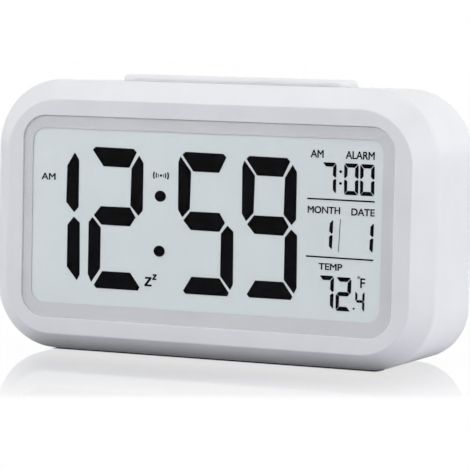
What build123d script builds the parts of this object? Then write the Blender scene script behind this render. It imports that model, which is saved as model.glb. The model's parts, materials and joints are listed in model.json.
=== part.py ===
import os
from math import radians, tan
from build123d import *

os.makedirs("parts", exist_ok=True)

# Case, in mm: depths run back from the front ring, heights from the middle of the case
case_width = 137.0
case_height = 80.0
case_depth = 45.0
case_corner = 20.0
base_corner = 19.0
rear_base_corner = 15.0
case_wall = 2.0
side_draft = 0.8
rear_round = 3.5
foot_lift = 0.6

# Clearances and the overrun of through cuts
slip_gap = 0.1
run_gap = 0.35
pin_gap = 0.06
press_gap = 0.3
bore_spare = 0.5
overrun = 1.0
edge_band = 0.01

# Front bezel
seam_depth = 7.0
bevel_land = 0.6
bevel_side = 5.7
bevel_rise = 5.3
bevel_round = 0.9
ring_drop = 0.33
ring_side = 5.1
ring_rise = 4.85
ring_corner = 16.0
ring_base_corner = 14.4
ring_inner_corner = 7.2
ring_outer_round = 0.6
ring_inner_round = 0.3
bezel_wall = 4.9
ledge_thickness = 1.2
seam_groove = 0.2
tongue_length = 1.6
tongue_wall = 1.4

# Display stack
lens_depth = 0.4
lens_thickness = 1.0
lens_edge = 0.2
mask_thickness = 0.2
border_side = 3.5
border_rise = 3.95
window_corner = 4.0
lcd_lap = 0.4
lcd_corner = 1.0
lcd_ledge_side = 0.65
lcd_ledge_rise = 2.4
lcd_ledge_thickness = 0.8
guide_inset = 0.6
guide_thickness = 2.5
guide_corner = 1.5
sheet_thickness = 0.2
holder_spare = 0.7
holder_rail_side = 1.8
holder_rail_rise = 3.1
holder_corner = 1.5
led_strip_length = 22.0
led_strip_thickness = 0.6
led_length = 3.2
led_pitch = 7.0
zebra_inset = 10.0
zebra_width = 1.4

# Main board
board_margin = 1.5
board_thickness = 1.6
board_corner = 5.0
ear_inset = 8.0
ear_offset = 3.0
ear_width = 5.0
ear_thickness = 2.0
pillar_radius = 2.3
pillar_bore = 0.9
cob_x = 8.0
cob_z = -4.0
cob_radius = 7.5
cob_height = 1.8
crystal_x = -14.0
crystal_z = -8.0
crystal_length = 8.0
crystal_width = 3.0
crystal_height = 2.2
crystal_round = 0.7
capacitor_inset = 24.0
capacitor_z = 10.0
capacitor_radius = 3.15
capacitor_height = 7.0
capacitor_round = 0.5
header_width = 8.0
header_height = 5.0
header_depth = 5.5
header_wall = 0.8
header_floor = 1.5
header_inset = 18.0
header_z = -14.0
thermistor_inset = 11.0
thermistor_z = -18.0
thermistor_reach = 9.0
thermistor_radius = 1.3
thermistor_leg = 0.35
thermistor_pitch = 1.4

# Case fixing posts and screws
post_side = 9.0
post_rise = 16.0
post_clear = 7.4
post_floor = 8.0
boss_radius = 3.0
boss_bore = 1.2
boss_bore_depth = 9.0
post_radius = 4.2
post_bore = 1.6
head_bore = 3.2
case_head_radius = 2.6
case_head_height = 1.8
case_screw_grip = 7.0
small_head_radius = 1.7
small_head_height = 1.1
small_screw_grip = 1.5

# Snooze bar and its switches
bar_width = 72.0
bar_span = 18.0
bar_corner = 7.0
bar_offset = 1.0
bar_rise = 1.7
bar_wall = 1.6
bar_round = 1.1
bar_travel = 1.2
flange_lip = 2.2
flange_gap = 0.22
flange_thickness = 1.2
snooze_post_share = 0.25
snooze_post_radius = 3.0
snooze_board_span = 12.0
snooze_board_thickness = 1.2
snooze_mount_offset = 4.8
snooze_mount_radius = 2.6
snooze_mount_bore = 0.9
plunger_radius = 1.5
plunger_depth = 1.0

# Small push switches
switch_side = 6.0
switch_corner = 0.6
snooze_switch_height = 3.4
key_switch_height = 2.9

# Control panel on the back
panel_x = 1.0
panel_drop = 17.0
panel_width = 84.0
panel_height = 11.0
panel_corner = 3.0
panel_recess = 1.2
panel_wall = 2.0
panel_margin = 1.6
key_names = ("button_set", "button_alarm", "button_up", "button_down")
key_offset = 31.0
key_pitch = 14.0
key_width = 9.0
key_height = 5.5
key_corner = 2.0
key_inset = 0.3
key_round = 0.5
key_travel = 0.8
key_flange = 1.0
key_flange_gap = 0.2
key_flange_thickness = 1.0
key_stem_radius = 1.5
key_stem_depth = 0.9
key_board_margin = 2.0
key_board_thickness = 1.2
key_mount_inset = 4.0
key_mount_radius = 2.4
key_mount_bore = 0.9

# Light switch
slide_offset = 28.0
slide_travel = 4.0
slide_body_gap = 0.8
slide_body_wall = 3.0
slide_body_side = 2.0
slide_slot_spare = 0.4
knob_width = 3.6
knob_height = 3.0
knob_inset = 0.4
knob_gap = 0.3
knob_round = 0.4
knob_groove_count = 3
knob_groove_pitch = 0.85
knob_groove_width = 0.35
knob_groove_depth = 0.25
knob_stem_width = 2.4
knob_stem_height = 1.6
knob_stem_reach = 1.6

# Battery bay, cells and contacts
cell_radius = 5.1
cell_length = 44.5
cell_nub_radius = 1.9
cell_nub_length = 0.9
cell_round = 0.5
cell_gap = 1.1
cell_door_gap = 0.75
bay_rise = 27.0
bay_clear = 0.85
bay_wall = 1.5
rim_floor = 0.85
rim_margin = 1.6
cradle_place_share = 0.3
cradle_width = 1.8
cradle_gap = 0.35
contact_space = 3.75
contact_thickness = 0.4
contact_width = 6.0
contact_spacing = 2.3
leaf_base = 3.6
leaf_tip = 1.2
leaf_gap = 0.1
tab_height = 3.0
tab_proud = 1.7
tab_inset = 0.8

# Battery door
door_side = 3.0
door_lap = 2.05
door_thickness = 2.0
door_corner = 2.0
hinge_drop = 1.25
knuckle_radius = 1.6
hinge_pin_radius = 1.0
hinge_pin_length = 1.6
hinge_relief = 0.7
latch_width = 12.0
latch_slit = 0.8
latch_length = 8.0
latch_rib_length = 8.0
latch_rib_width = 0.8
latch_rib_depth = 0.5
latch_rib_pitch = 1.8
latch_rib_count = 3
thumb_radius = 7.0
thumb_rise = 3.0
thumb_depth = 1.2

# Buzzer, sound holes and vents
buzzer_place_share = 0.4
buzzer_lift = 2.0
buzzer_radius = 10.0
buzzer_height = 5.5
buzzer_floor = 1.2
buzzer_rim = 1.4
buzzer_shelf = 1.0
buzzer_disc_thickness = 0.4
buzzer_disc_setback = 2.4
sound_radius = 0.8
sound_pitch = 3.2
sound_ring_counts = (1, 6, 12)
vent_count = 5
vent_pitch = 3.0
vent_width = 1.3
vent_length = 11.0

# Feet
foot_side = 23.5
foot_setback_front = 6.0
foot_setback_rear = 8.0
foot_length = 14.0
foot_width = 7.0
foot_corner = 3.4
foot_sink = 0.65
foot_edge = 0.3

# Leads and flat cables
lead_radius = 0.65
ribbon_width = 10.0
ribbon_thickness = 0.3
ribbon_stub = 4.0
ribbon_drop = 6.0
ribbon_bend = 2.5
key_ribbon_x = -12.0
snooze_ribbon_x = 0.0

# Worked out from the sizes above: the front and the display
front_y = -case_depth / 2
mid_z = foot_lift + case_height / 2
lean = tan(radians(side_draft))
wall_front = case_depth - case_wall
bevel_depth = seam_depth - bevel_land
ring_width = case_width - 2 * bevel_side
ring_height = case_height - 2 * bevel_rise
ring_inner_width = ring_width - 2 * ring_side
ring_inner_height = ring_height - 2 * ring_rise
bezel_cavity_height = case_height - 2 * bezel_wall
mask_front = lens_depth + lens_thickness
lcd_front = mask_front + mask_thickness
ledge_back = lcd_front + ledge_thickness
lcd_back = ledge_back + lcd_ledge_thickness
window_width = ring_inner_width - 2 * border_side
window_height = ring_inner_height - 2 * border_rise
lcd_width = window_width + 2 * lcd_lap
lcd_height = window_height + 2 * lcd_lap
guide_width = lcd_width - 2 * guide_inset
guide_height = lcd_height - 2 * guide_inset
led_strip_depth = guide_thickness - 3 * slip_gap
holder_thickness = guide_thickness + sheet_thickness + holder_spare
holder_width = guide_width + 2 * (2 * slip_gap + holder_rail_side)
holder_height = guide_height + 2 * (2 * slip_gap + holder_rail_rise)
zebra_length = guide_width - 2 * zebra_inset
zebra_z = (holder_height - holder_rail_rise) / 2
board_front = lcd_back + holder_thickness
board_back = board_front + board_thickness
ear_x = holder_width / 2 - ear_inset
ear_z = holder_height / 2 + ear_offset
ears = [(x, z) for x in (-ear_x, ear_x) for z in (-ear_z, ear_z)]
capacitor_x = holder_width / 2 - capacitor_inset
header_x = holder_width / 2 - header_inset
thermistor_x = holder_width / 2 - thermistor_inset
post_meet = board_back + post_clear
head_bore_floor = post_meet + post_floor
post_x = case_width / 2 - post_side
post_z = case_height / 2 - post_rise
posts = [(x, z) for x in (-post_x, post_x) for z in (-post_z, post_z)]

# Worked out: the snooze bar
bar_depth = (seam_depth + case_depth) / 2 + bar_offset
bar_top = case_height / 2 + bar_rise
flange_width = bar_width + 2 * flange_lip
flange_span = bar_span + 2 * flange_lip
flange_drop = lean * (bar_depth + flange_span / 2 - seam_depth)
flange_top = case_height / 2 - case_wall - flange_drop - flange_gap
flange_base = flange_top - flange_thickness
snooze_switch_top = flange_base - bar_travel - press_gap
snooze_board_top = snooze_switch_top - snooze_switch_height
snooze_mount_x = flange_width / 2 + snooze_mount_offset
snooze_mounts = [(half * snooze_mount_x, bar_depth) for half in (-1, 1)]
snooze_board_width = 2 * (snooze_mount_x + snooze_mount_radius)
snooze_post_x = bar_width * snooze_post_share

# Worked out: the control panel
panel_z = case_height / 2 - panel_drop
panel_back = case_depth - panel_recess - panel_wall
key_x = [panel_x + key_offset - step * key_pitch for step in range(len(key_names))]
key_face = case_depth - key_inset
key_flange_top = panel_back - key_flange_gap
key_flange_base = key_flange_top - key_flange_thickness
key_switch_top = key_flange_base - key_travel - press_gap
key_board_back = key_switch_top - key_switch_height
key_board_front = key_board_back - key_board_thickness
key_board_width = panel_width + 2 * key_board_margin
key_board_height = panel_height + key_board_margin
key_mount_x = key_board_width / 2 - key_mount_inset
key_mounts = [(panel_x + half * key_mount_x, panel_z) for half in (-1, 1)]
slide_x = panel_x - slide_offset
slide_body_face = panel_back - slide_body_gap
slide_body_width = knob_stem_width + slide_travel + 2 * (run_gap + slide_body_wall)
slide_body_height = knob_stem_height + 2 * (run_gap + slide_body_side)
knob_base = slide_body_face + knob_gap
knob_stem_end = slide_body_face - knob_stem_reach
knob_x = slide_x - slide_travel / 2
knob_groove_start = knob_x - (knob_groove_count - 1) * knob_groove_pitch / 2
knob_grooves = [(knob_groove_start + step * knob_groove_pitch, panel_z) for step in range(knob_groove_count)]

# Worked out: the battery bay and its door
cell_pitch = 2 * cell_radius + cell_gap
bay_z = bay_rise - case_height / 2
bay_width = cell_length + 2 * contact_space
bay_height = 2 * (cell_pitch + cell_radius + bay_clear)
cell_heights = (bay_z + cell_pitch, bay_z, bay_z - cell_pitch)
door_back = case_depth - door_thickness
cell_depth = door_back - cell_door_gap - cell_radius
bay_floor = cell_depth - cell_radius - bay_clear
door_width = bay_width + 2 * door_side
door_top = bay_z + bay_height / 2 + door_lap
hinge_z = bay_z - bay_height / 2 - hinge_drop
hinge_depth = case_depth - knuckle_radius
pin_half = door_width / 2 + run_gap + hinge_pin_length
rim_front = hinge_depth - knuckle_radius - run_gap - rim_floor
rim_low = hinge_z - knuckle_radius - hinge_relief - rim_margin
rim_high = door_top + run_gap + rim_margin
plate_x = bay_width / 2 - contact_thickness
leaf_x = cell_length / 2 + leaf_gap
contact_front = cell_depth - contact_width / 2
contact_height = cell_pitch - contact_spacing
tab_depth = contact_front + tab_inset
tab_reach = contact_thickness + bay_wall + tab_proud

# Worked out: the buzzer and the feet
buzzer_x = -door_width / 2 - buzzer_place_share * (case_width - door_width) / 2
buzzer_z = bay_z + buzzer_lift
buzzer_disc_radius = buzzer_radius - buzzer_rim
buzzer_disc_depth = wall_front - buzzer_disc_setback
vents = [(-buzzer_x + (step - vent_count // 2) * vent_pitch, buzzer_z) for step in range(vent_count)]
foot_x = case_width / 2 - foot_side
foot_depths = (seam_depth + foot_setback_front, case_depth - foot_setback_rear)
foot_thickness = foot_lift + foot_sink


def front_at(depth):
    return Plane(origin=(0, front_y + depth, mid_z), x_dir=(1, 0, 0), z_dir=(0, -1, 0))


def top_at(height):
    return Plane(origin=(0, front_y, mid_z + height), x_dir=(1, 0, 0), z_dir=(0, 0, 1))


def side_at(x):
    return Plane(origin=(x, front_y, mid_z), x_dir=(0, 1, 0), z_dir=(1, 0, 0))


def point_at(x, depth, height):
    return (x, front_y + depth, mid_z + height)


def outline_at(depth, width, height, middle, top_round, base_round):
    """Upright outline with its own rounds at the top and at the base."""
    with BuildSketch(front_at(depth), mode=Mode.PRIVATE) as outline:
        with Locations((0, middle)):
            Rectangle(width, height)
        fillet(outline.vertices().sort_by(Axis.Y)[:2], radius=base_round)
        fillet(outline.vertices().sort_by(Axis.Y)[-2:], radius=top_round)
    return outline.sketch


def body_at(depth, inset):
    """Case outline: behind the seam the sides and top draw in and the level base gets tighter corners."""
    run = max(0, depth - seam_depth)
    draw_in = lean * run
    tightening = (base_corner - rear_base_corner) * run / (case_depth - seam_depth)
    return outline_at(
        depth,
        case_width - 2 * (inset + draw_in),
        case_height - 2 * inset - draw_in,
        -draw_in / 2,
        case_corner - inset - draw_in,
        base_corner - inset - tightening,
    )


def edges_at(piece, depth):
    return piece.edges().filter_by_position(Axis.Y, front_y + depth - edge_band, front_y + depth + edge_band)


def save(piece, name):
    piece.part.label = name
    export_step(piece.part, f"parts/{name}.step")


# Front bezel: straight bevel up to the ring, lens seat, tongue and fixing bosses
with BuildPart() as front_case:
    extrude(body_at(seam_depth, 0), amount=bevel_land)
    ring_outline = outline_at(0, ring_width, ring_height, -ring_drop, ring_corner, ring_base_corner)
    loft([body_at(bevel_depth, 0), ring_outline], ruled=True)
    fillet(edges_at(front_case, bevel_depth), radius=bevel_round)
    fillet(edges_at(front_case, 0), radius=ring_outer_round)
    with BuildSketch(front_at(0)):
        with Locations((0, -ring_drop)):
            RectangleRounded(ring_inner_width, ring_inner_height, ring_inner_corner)
    extrude(amount=-lcd_front, mode=Mode.SUBTRACT)
    with BuildSketch(front_at(lcd_front)):
        RectangleRounded(lcd_width + 2 * slip_gap, lcd_height + 2 * slip_gap, lcd_corner)
    extrude(amount=-seam_depth, mode=Mode.SUBTRACT)
    extrude(body_at(ledge_back, bezel_wall), amount=-seam_depth, mode=Mode.SUBTRACT)
    ring_face = front_case.faces().sort_by(Axis.Y)[0]
    fillet(ring_face.inner_wires()[0].edges(), radius=ring_inner_round)
    groove = body_at(seam_depth - seam_groove, -overrun) - body_at(seam_depth - seam_groove, seam_groove)
    extrude(groove, amount=-(seam_groove + overrun), mode=Mode.SUBTRACT)
    tongue_inset = case_wall + slip_gap
    tongue = body_at(seam_depth, tongue_inset) - body_at(seam_depth, tongue_inset + tongue_wall)
    extrude(tongue, amount=-tongue_length)
    with BuildSketch(front_at(ledge_back)):
        with Locations(*posts):
            Circle(boss_radius)
    extrude(amount=-(post_meet - ledge_back))
    with BuildSketch(front_at(post_meet)):
        with Locations(*posts):
            Circle(boss_bore)
    extrude(amount=boss_bore_depth, mode=Mode.SUBTRACT)
    with BuildSketch(front_at(ledge_back)):
        with Locations(*ears):
            Circle(pillar_radius)
    extrude(amount=-(board_front - ear_thickness - ledge_back))
    with BuildSketch(front_at(board_front)):
        with Locations(*ears):
            Circle(pillar_bore)
    extrude(amount=board_front - ledge_back, mode=Mode.SUBTRACT)
save(front_case, "front_case")

# Lens, printed border and liquid crystal panel
with BuildPart() as display_lens:
    with BuildSketch(front_at(lens_depth)):
        with Locations((0, -ring_drop)):
            RectangleRounded(
                ring_inner_width - 2 * slip_gap,
                ring_inner_height - 2 * slip_gap,
                ring_inner_corner - slip_gap,
            )
    extrude(amount=-lens_thickness)
    chamfer(display_lens.faces().sort_by(Axis.Y)[0].edges(), length=lens_edge)
save(display_lens, "display_lens")

with BuildPart() as display_mask:
    with BuildSketch(front_at(mask_front)):
        with Locations((0, -ring_drop)):
            RectangleRounded(
                ring_inner_width - 2 * slip_gap,
                ring_inner_height - 2 * slip_gap,
                ring_inner_corner - slip_gap,
            )
        RectangleRounded(window_width, window_height, window_corner, mode=Mode.SUBTRACT)
    extrude(amount=-mask_thickness)
save(display_mask, "display_mask")

with BuildPart() as lcd_panel:
    with BuildSketch(front_at(lcd_front)):
        RectangleRounded(lcd_width, lcd_height, lcd_corner)
    extrude(amount=-(ledge_back - lcd_front))
    with BuildSketch(front_at(ledge_back)):
        Rectangle(lcd_width + 2 * lcd_ledge_side, lcd_height + 2 * lcd_ledge_rise)
    extrude(amount=-lcd_ledge_thickness)
save(lcd_panel, "lcd_panel")

# Backlight: guide plate, white sheet and two lamp strips
with BuildPart() as light_guide:
    with BuildSketch(front_at(lcd_back)):
        RectangleRounded(guide_width, guide_height, guide_corner)
    extrude(amount=-guide_thickness)
save(light_guide, "light_guide")

with BuildPart() as reflector_sheet:
    with BuildSketch(front_at(lcd_back + guide_thickness)):
        RectangleRounded(guide_width, guide_height, guide_corner)
    extrude(amount=-sheet_thickness)
save(reflector_sheet, "reflector_sheet")

led_inner = guide_width / 2 + slip_gap
led_outer = holder_width / 2 - slip_gap
for side, name in ((-1, "backlight_left"), (1, "backlight_right")):
    with BuildPart() as led_strip:
        with BuildSketch(front_at(lcd_back + slip_gap)):
            with Locations((side * (led_outer - led_strip_thickness / 2), 0)):
                Rectangle(led_strip_thickness, led_strip_length)
            with Locations(*[(side * (led_inner + led_outer) / 2, step * led_pitch) for step in (-1, 0, 1)]):
                Rectangle(led_outer - led_inner, led_length)
        extrude(amount=-led_strip_depth)
    save(led_strip, name)

# Holder frame with slots for the rubber connectors
with BuildPart() as lcd_holder:
    with BuildSketch(front_at(lcd_back)):
        RectangleRounded(holder_width, holder_height, holder_corner)
        Rectangle(guide_width + 4 * slip_gap, guide_height + 4 * slip_gap, mode=Mode.SUBTRACT)
        with Locations((0, zebra_z), (0, -zebra_z)):
            Rectangle(zebra_length + 2 * slip_gap, zebra_width + 2 * slip_gap, mode=Mode.SUBTRACT)
    extrude(amount=-holder_thickness)
    with BuildSketch(front_at(board_front)):
        with Locations(*ears):
            Circle(ear_width / 2)
        with Locations(*[(x, z * holder_height / (2 * ear_z)) for x, z in ears]):
            Rectangle(ear_width, 2 * (ear_z - holder_height / 2))
        Rectangle(holder_width, holder_height - holder_corner, mode=Mode.SUBTRACT)
    extrude(amount=ear_thickness)
    with BuildSketch(front_at(lcd_back)):
        with Locations(*ears):
            Circle(pillar_bore + slip_gap)
        Rectangle(holder_width + overrun, led_strip_length + 2 * slip_gap)
    extrude(amount=-(led_strip_depth + 2 * slip_gap), mode=Mode.SUBTRACT)
    with BuildSketch(front_at(board_front)):
        with Locations(*ears):
            Circle(pillar_bore + slip_gap)
    extrude(amount=holder_thickness, mode=Mode.SUBTRACT)
save(lcd_holder, "lcd_holder")

for side, name in ((1, "zebra_top"), (-1, "zebra_bottom")):
    with BuildPart() as zebra:
        with BuildSketch(front_at(lcd_back)):
            with Locations((0, side * zebra_z)):
                Rectangle(zebra_length, zebra_width)
        extrude(amount=-holder_thickness)
    save(zebra, name)

# Main board and the parts on it
with BuildPart() as main_board:
    with BuildSketch(front_at(board_front)):
        RectangleRounded(holder_width, bezel_cavity_height - 2 * board_margin, board_corner)
        with Locations(*ears):
            Circle(pillar_bore + slip_gap, mode=Mode.SUBTRACT)
    extrude(amount=-board_thickness)
save(main_board, "main_board")

with BuildPart() as controller:
    with BuildSketch(side_at(cob_x)):
        with BuildLine():
            cap_tip = (board_back + cob_height, cob_z)
            cap_edge = (board_back, cob_z + cob_radius)
            cap_foot = (board_back, cob_z)
            RadiusArc(cap_edge, cap_tip, (cob_radius ** 2 + cob_height ** 2) / (2 * cob_height))
            Line(cap_tip, cap_foot)
            Line(cap_foot, cap_edge)
        make_face()
    revolve(axis=Axis(point_at(cob_x, 0, cob_z), (0, 1, 0)))
save(controller, "controller_blob")

with BuildPart() as crystal:
    with BuildSketch(front_at(board_back)):
        with Locations((crystal_x, crystal_z)):
            Rectangle(crystal_length, crystal_width)
    extrude(amount=-crystal_height)
    fillet(crystal.edges().filter_by(Axis.X).sort_by(Axis.Y)[-2:], radius=crystal_round)
save(crystal, "crystal")

with BuildPart() as capacitor:
    with BuildSketch(front_at(board_back)):
        with Locations((capacitor_x, capacitor_z)):
            Circle(capacitor_radius)
    extrude(amount=-capacitor_height)
    fillet(capacitor.faces().sort_by(Axis.Y)[-1].edges(), radius=capacitor_round)
save(capacitor, "capacitor")

for side, name in ((1, "header_plus"), (-1, "header_minus")):
    with BuildPart() as header:
        with BuildSketch(front_at(board_back)):
            with Locations((side * header_x, header_z)):
                Rectangle(header_width, header_height)
        extrude(amount=-header_depth)
        with BuildSketch(front_at(board_back + header_floor)):
            with Locations((side * header_x, header_z)):
                Rectangle(header_width - 2 * header_wall, header_height - 2 * header_wall)
        extrude(amount=-header_depth, mode=Mode.SUBTRACT)
    save(header, name)

with BuildPart() as thermistor:
    with BuildSketch(front_at(board_back)):
        with Locations(*[(thermistor_x + half * thermistor_pitch / 2, thermistor_z) for half in (-1, 1)]):
            Circle(thermistor_leg)
    extrude(amount=-thermistor_reach)
    with Locations(point_at(thermistor_x, board_back + thermistor_reach, thermistor_z)):
        Sphere(thermistor_radius)
save(thermistor, "thermistor")

# Rear shell: drafted tub on a level base, with the back wall, bay, panel and posts
with BuildPart() as rear_case:
    loft([body_at(seam_depth, 0), body_at(case_depth, 0)], ruled=True)
    fillet(rear_case.faces().sort_by(Axis.Y)[-1].edges(), radius=rear_round)
    loft([body_at(seam_depth, case_wall), body_at(wall_front, case_wall)], ruled=True, mode=Mode.SUBTRACT)
    with BuildSketch(front_at(wall_front)):
        with Locations((0, bay_z)):
            Rectangle(bay_width + 2 * bay_wall, bay_height + 2 * bay_wall)
    extrude(amount=wall_front - bay_floor + bay_wall)
    with BuildSketch(front_at(wall_front)):
        with Locations((0, (rim_low + rim_high) / 2)):
            Rectangle(2 * (pin_half + rim_margin), rim_high - rim_low)
    extrude(amount=wall_front - rim_front)
    with BuildSketch(front_at(wall_front)):
        with Locations((panel_x, panel_z)):
            RectangleRounded(panel_width + 2 * panel_margin, panel_height + 2 * panel_margin, panel_corner)
    extrude(amount=wall_front - panel_back)
    with BuildSketch(front_at(wall_front)):
        with Locations(*posts):
            Circle(post_radius)
    extrude(amount=wall_front - post_meet)
    with BuildSketch(front_at(wall_front)):
        with Locations(*key_mounts):
            Circle(key_mount_radius)
    extrude(amount=wall_front - key_board_back)
    with BuildSketch(front_at(wall_front)):
        with Locations((buzzer_x, buzzer_z)):
            Circle(buzzer_radius)
            Circle(buzzer_disc_radius + buzzer_shelf / 2, mode=Mode.SUBTRACT)
    extrude(amount=buzzer_shelf)
    with BuildSketch(top_at(flange_top)):
        with Locations(*snooze_mounts):
            Circle(snooze_mount_radius)
    extrude(until=Until.NEXT)
    with BuildSketch(top_at(snooze_board_top)):
        with Locations(*snooze_mounts):
            Circle(snooze_mount_radius)
    extrude(amount=flange_top - snooze_board_top)
    # Cuts through the back wall
    with BuildSketch(front_at(bay_floor)):
        with Locations((0, bay_z)):
            Rectangle(bay_width, bay_height)
    extrude(amount=-case_depth, mode=Mode.SUBTRACT)
    for half in (-1, 1):
        with BuildSketch(side_at(half * cell_length * cradle_place_share - cradle_width / 2)):
            with Locations(((bay_floor + cell_depth) / 2, bay_z)):
                Rectangle(cell_depth - bay_floor, bay_height)
            with Locations(*[(cell_depth, height) for height in cell_heights]):
                Circle(cell_radius + cradle_gap, mode=Mode.SUBTRACT)
        extrude(amount=cradle_width)
    with BuildSketch(front_at(door_back)):
        with Locations((0, (hinge_z + door_top + run_gap) / 2)):
            Rectangle(door_width + 2 * run_gap, door_top + run_gap - hinge_z)
    extrude(amount=-case_depth, mode=Mode.SUBTRACT)
    with BuildSketch(side_at(-door_width / 2 - run_gap)):
        with Locations((hinge_depth, hinge_z)):
            Circle(knuckle_radius + run_gap)
    extrude(amount=door_width + 2 * run_gap, mode=Mode.SUBTRACT)
    with BuildSketch(front_at(hinge_depth)):
        with Locations((0, hinge_z - (knuckle_radius + hinge_relief) / 2)):
            Rectangle(door_width + 2 * run_gap, knuckle_radius + hinge_relief)
    extrude(amount=-case_depth, mode=Mode.SUBTRACT)
    with BuildSketch(side_at(-pin_half)):
        with Locations((hinge_depth, hinge_z)):
            Circle(hinge_pin_radius + pin_gap)
    extrude(amount=2 * pin_half, mode=Mode.SUBTRACT)
    with BuildSketch(front_at(case_depth - thumb_depth)):
        with Locations((0, door_top + run_gap + thumb_rise - thumb_radius)):
            Circle(thumb_radius)
        with Locations((0, door_top + run_gap - thumb_radius)):
            Rectangle(2 * thumb_radius, 2 * thumb_radius, mode=Mode.SUBTRACT)
    extrude(amount=-case_depth, mode=Mode.SUBTRACT)
    with BuildSketch(front_at(case_depth - panel_recess)):
        with Locations((panel_x, panel_z)):
            RectangleRounded(panel_width, panel_height, panel_corner)
    extrude(amount=-case_depth, mode=Mode.SUBTRACT)
    with BuildSketch(front_at(panel_back - overrun)):
        with Locations(*[(x, panel_z) for x in key_x]):
            RectangleRounded(key_width + 2 * run_gap, key_height + 2 * run_gap, key_corner + run_gap)
        with Locations((slide_x, panel_z)):
            Rectangle(knob_width + slide_travel + 2 * run_gap, knob_height + 2 * run_gap)
    extrude(amount=-case_depth, mode=Mode.SUBTRACT)
    with BuildSketch(front_at(head_bore_floor)):
        with Locations(*posts):
            Circle(head_bore)
    extrude(amount=-case_depth, mode=Mode.SUBTRACT)
    with BuildSketch(front_at(post_meet)):
        with Locations(*posts):
            Circle(post_bore)
    extrude(amount=-case_depth, mode=Mode.SUBTRACT)
    with BuildSketch(front_at(wall_front - overrun)):
        for ring, count in enumerate(sound_ring_counts):
            with Locations((buzzer_x, buzzer_z)):
                with PolarLocations(ring * sound_pitch, count):
                    Circle(sound_radius)
        with Locations(*vents):
            SlotOverall(vent_length, vent_width, rotation=90)
    extrude(amount=-case_depth, mode=Mode.SUBTRACT)
    with BuildSketch(front_at(tab_depth - contact_thickness / 2)):
        with Locations(
            (bay_width / 2 + bay_wall / 2, cell_heights[0]),
            (-bay_width / 2 - bay_wall / 2, cell_heights[2]),
        ):
            Rectangle(bay_wall + overrun, tab_height + 4 * slip_gap)
    extrude(amount=-(contact_thickness + 4 * slip_gap), mode=Mode.SUBTRACT)
    # Cuts for the snooze bar, its mounts, the key mounts and the feet
    with BuildSketch(top_at(flange_top)):
        with Locations((0, bar_depth)):
            RectangleRounded(bar_width + 2 * run_gap, bar_span + 2 * run_gap, bar_corner + run_gap)
    extrude(amount=case_height, mode=Mode.SUBTRACT)
    with BuildSketch(top_at(snooze_board_top)):
        with Locations(*snooze_mounts):
            Circle(snooze_mount_bore)
    extrude(amount=flange_top - snooze_board_top, mode=Mode.SUBTRACT)
    with BuildSketch(front_at(key_board_back)):
        with Locations(*key_mounts):
            Circle(key_mount_bore)
    extrude(amount=-(panel_back - key_board_back), mode=Mode.SUBTRACT)
    with BuildSketch(Plane.XY):
        with Locations(*[(half * foot_x, front_y + depth) for half in (-1, 1) for depth in foot_depths]):
            RectangleRounded(foot_length + 2 * slip_gap, foot_width + 2 * slip_gap, foot_corner + slip_gap)
    extrude(amount=foot_thickness, mode=Mode.SUBTRACT)
save(rear_case, "rear_case")

# Snooze bar, hollow underneath, with a retaining flange and two pressing posts
with BuildPart() as snooze_bar:
    with BuildSketch(top_at(flange_base)):
        with Locations((0, bar_depth)):
            RectangleRounded(bar_width, bar_span, bar_corner)
    extrude(amount=bar_top - flange_base)
    fillet(snooze_bar.faces().sort_by(Axis.Z)[-1].edges(), radius=bar_round)
    with BuildSketch(top_at(flange_base)):
        with Locations((0, bar_depth)):
            RectangleRounded(flange_width, flange_span, bar_corner + flange_lip)
    extrude(amount=flange_thickness)
    with BuildSketch(top_at(flange_base)):
        with Locations((0, bar_depth)):
            RectangleRounded(bar_width - 2 * bar_wall, bar_span - 2 * bar_wall, bar_corner - bar_wall)
        with Locations(*[(half * snooze_post_x, bar_depth) for half in (-1, 1)]):
            Circle(snooze_post_radius, mode=Mode.SUBTRACT)
    extrude(amount=bar_top - bar_wall - flange_base, mode=Mode.SUBTRACT)
save(snooze_bar, "snooze_bar")

with BuildPart() as snooze_board:
    with BuildSketch(top_at(snooze_board_top)):
        with Locations((0, bar_depth)):
            Rectangle(snooze_board_width, snooze_board_span)
        with Locations(*snooze_mounts):
            Circle(snooze_mount_bore + slip_gap, mode=Mode.SUBTRACT)
    extrude(amount=-snooze_board_thickness)
save(snooze_board, "snooze_board")

for side, name in ((-1, "left"), (1, "right")):
    with BuildPart() as snooze_switch:
        with BuildSketch(top_at(snooze_board_top)):
            with Locations((side * snooze_post_x, bar_depth)):
                RectangleRounded(switch_side, switch_side, switch_corner)
        extrude(amount=snooze_switch_height)
        with BuildSketch(top_at(snooze_switch_top)):
            with Locations((side * snooze_post_x, bar_depth)):
                Circle(plunger_radius + run_gap)
        extrude(amount=-(plunger_depth + bar_travel + bore_spare), mode=Mode.SUBTRACT)
    save(snooze_switch, f"snooze_switch_{name}")

    with BuildPart() as plunger:
        with BuildSketch(top_at(flange_base)):
            with Locations((side * snooze_post_x, bar_depth)):
                Circle(plunger_radius)
        extrude(amount=-(bar_travel + press_gap + plunger_depth))
    save(plunger, f"snooze_plunger_{name}")

# Key board with four switches and the buttons over them
with BuildPart() as key_board:
    with BuildSketch(front_at(key_board_front)):
        with Locations((panel_x, panel_z)):
            Rectangle(key_board_width, key_board_height)
        with Locations(*key_mounts):
            Circle(key_mount_bore + slip_gap, mode=Mode.SUBTRACT)
    extrude(amount=-key_board_thickness)
save(key_board, "key_board")

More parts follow.
